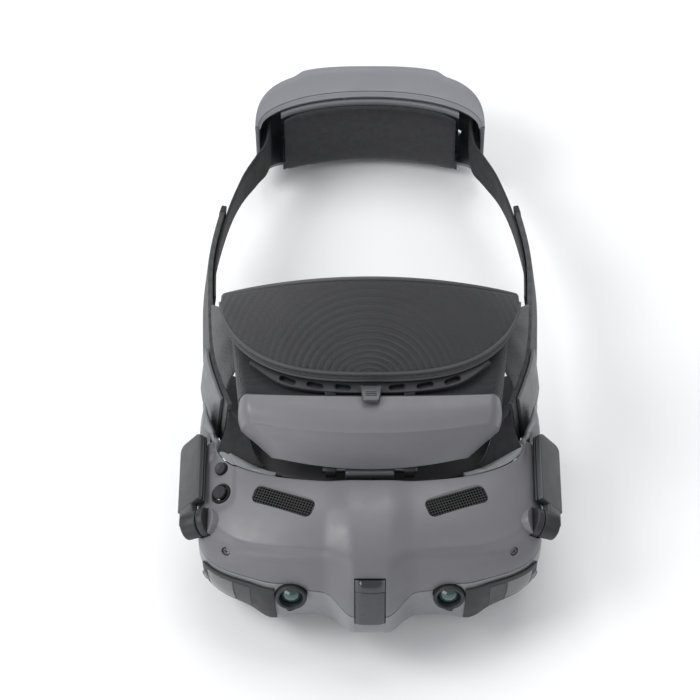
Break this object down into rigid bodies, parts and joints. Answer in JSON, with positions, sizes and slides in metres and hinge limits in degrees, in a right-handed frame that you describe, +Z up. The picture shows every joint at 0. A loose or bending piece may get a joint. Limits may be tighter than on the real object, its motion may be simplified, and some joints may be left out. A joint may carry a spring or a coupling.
{
  "type": "fpv goggles",
  "caption": "Head-worn video goggles with folding side antennas, a tilting forehead cushion and a battery housing on the headband.",
  "frame": {"origin": "on the surface the goggles stand on, under the middle of the outer box", "axes": "+X to the right of a person who faces the goggles, +Y from the face of the goggles to the battery housing, +Z up"},
  "size_m": [0.1724, 0.3178, 0.138],
  "materials": {
    "shell_grey": "fine satin texture",
    "light_grey": "fine satin texture",
    "dark_plastic": "matt, fine texture",
    "gloss_black": "polished",
    "headband_fabric": "knitted",
    "pad_fabric": "fine ribbed knit over foam",
    "foam": "soft brushed cover over foam",
    "soft_rubber": "matt",
    "lens_glass": "coated",
    "steel": "plain",
    "aluminium": "plain",
    "board": "solder mask"
  },
  "bodies": {
    "goggles": {"top_shell": "shell_grey", "front_shell": "light_grey", "bottom_cover": "shell_grey", "vent_grille_right": "dark_plastic", "vent_grille_left": "dark_plastic", "nose_bar": "gloss_black", "bezel_right": "gloss_black", "camera_ring_right": "dark_plastic", "camera_lens_right": "lens_glass", "bezel_left": "gloss_black", "camera_ring_left": "dark_plastic", "camera_lens_left": "lens_glass", "screw_right": "steel", "screw_left": "steel", "antenna_mount_right": "dark_plastic", "antenna_mount_left": "dark_plastic", "five_way_ring": "dark_plastic", "rear_frame": "dark_plastic", "face_foam": "foam", "eye_plate": "dark_plastic", "main_board": "board", "heat_sink": "aluminium", "strap_right": "headband_fabric", "strap_tail_right": "dark_plastic", "strap_clip_right": "light_grey", "strap_left": "headband_fabric", "strap_tail_left": "dark_plastic", "strap_clip_left": "light_grey", "ear_right": "light_grey", "ear_left": "light_grey", "forehead_pin": "steel", "forehead_hinge_block": "dark_plastic"},
    "antenna_left": {"antenna_left": "shell_grey"},
    "antenna_right": {"antenna_right": "shell_grey"},
    "five_way_button": {"five_way_button": "dark_plastic"},
    "back_button": {"back_button": "dark_plastic"},
    "eye_left": {"barrel_left": "dark_plastic", "display_left": "gloss_black"},
    "eye_right": {"barrel_right": "dark_plastic", "display_right": "gloss_black"},
    "focus_left": {"lens_cell_left": "dark_plastic", "eye_lens_left": "lens_glass"},
    "focus_right": {"lens_cell_right": "dark_plastic", "eye_lens_right": "lens_glass"},
    "knob_left": {"focus_knob_left": "soft_rubber"},
    "knob_right": {"focus_knob_right": "soft_rubber"},
    "forehead_support": {"forehead_frame": "dark_plastic", "forehead_housing": "shell_grey", "forehead_pad": "pad_fabric", "release_tab": "dark_plastic", "gusset_left": "headband_fabric", "gusset_right": "headband_fabric"},
    "battery_pod": {"pod_back_shell": "shell_grey", "pod_front_shell": "dark_plastic", "pod_liner": "foam", "battery_cell_left": "aluminium", "battery_cell_right": "aluminium"},
    "dial": {"dial": "soft_rubber"},
    "power_button": {"power_button": "dark_plastic"},
    "fan_rotor": {"fan_rotor": "soft_rubber"}
  },
  "joints": [
    {"name": "antenna_left_fold", "type": "hinge", "parent": "goggles", "child": "antenna_left", "pos_m": [-0.078, -0.11786, 0.053], "axis": [0.8988, 0, 0.4384], "range_deg": [0, 95]},
    {"name": "antenna_right_fold", "type": "hinge", "parent": "goggles", "child": "antenna_right", "pos_m": [0.078, -0.11786, 0.053], "axis": [0.8988, 0, -0.4384], "range_deg": [0, 95]},
    {"name": "five_way_button_press", "type": "slide", "parent": "goggles", "child": "five_way_button", "axis": [0.4445, 0.0899, -0.8912], "range_m": [0, 0.0007], "stiffness_N_per_m": 900, "springref_m": -0.0006},
    {"name": "back_button_press", "type": "slide", "parent": "goggles", "child": "back_button", "axis": [0.5075, 0.1271, -0.8522], "range_m": [0, 0.0007], "stiffness_N_per_m": 900, "springref_m": -0.0006},
    {"name": "eye_left_slide", "type": "slide", "parent": "goggles", "child": "eye_left", "axis": [1, 0, 0], "range_m": [-0.004, 0.004]},
    {"name": "focus_left_slide", "type": "slide", "parent": "eye_left", "child": "focus_left", "axis": [0, 1, 0], "range_m": [-0.0017, 0.0017]},
    {"name": "knob_left_turn", "type": "hinge", "parent": "eye_left", "child": "knob_left", "pos_m": [-0.032, -0.10987, 0], "axis": [0, 0, 1], "range_deg": [-170, 170]},
    {"name": "eye_right_slide", "type": "slide", "parent": "goggles", "child": "eye_right", "axis": [1, 0, 0], "range_m": [-0.004, 0.004]},
    {"name": "focus_right_slide", "type": "slide", "parent": "eye_right", "child": "focus_right", "axis": [0, 1, 0], "range_m": [-0.0017, 0.0017]},
    {"name": "knob_right_turn", "type": "hinge", "parent": "eye_right", "child": "knob_right", "pos_m": [0.032, -0.10987, 0], "axis": [0, 0, 1], "range_deg": [-170, 170]},
    {"name": "forehead_tilt", "type": "hinge", "parent": "goggles", "child": "forehead_support", "pos_m": [0, -0.09936, 0.0703], "axis": [1, 0, 0], "range_deg": [0, 14]},
    {"name": "headband_slide", "type": "slide", "parent": "goggles", "child": "battery_pod", "axis": [0, 1, 0], "range_m": [-0.003, 0.012]},
    {"name": "dial_turn", "type": "hinge", "parent": "battery_pod", "child": "dial", "pos_m": [0, 0.15893, 0.023], "axis": [0, 1, 0], "range_deg": [-45, 150]},
    {"name": "power_button_press", "type": "slide", "parent": "battery_pod", "child": "power_button", "axis": [0, -1, 0], "range_m": [0, 0.0006], "stiffness_N_per_m": 900, "springref_m": -0.0005},
    {"name": "fan_spin", "type": "hinge", "parent": "goggles", "child": "fan_rotor", "pos_m": [0, -0.11686, 0.052], "axis": [0, 1, 0], "continuous": true}
  ],
  "couplings": [
    {"joint": "knob_left_turn", "follows": "focus_left_slide", "rad_per_m": 1700},
    {"joint": "knob_right_turn", "follows": "focus_right_slide", "rad_per_m": 1700},
    {"joint": "dial_turn", "follows": "headband_slide", "rad_per_m": 200}
  ]
}
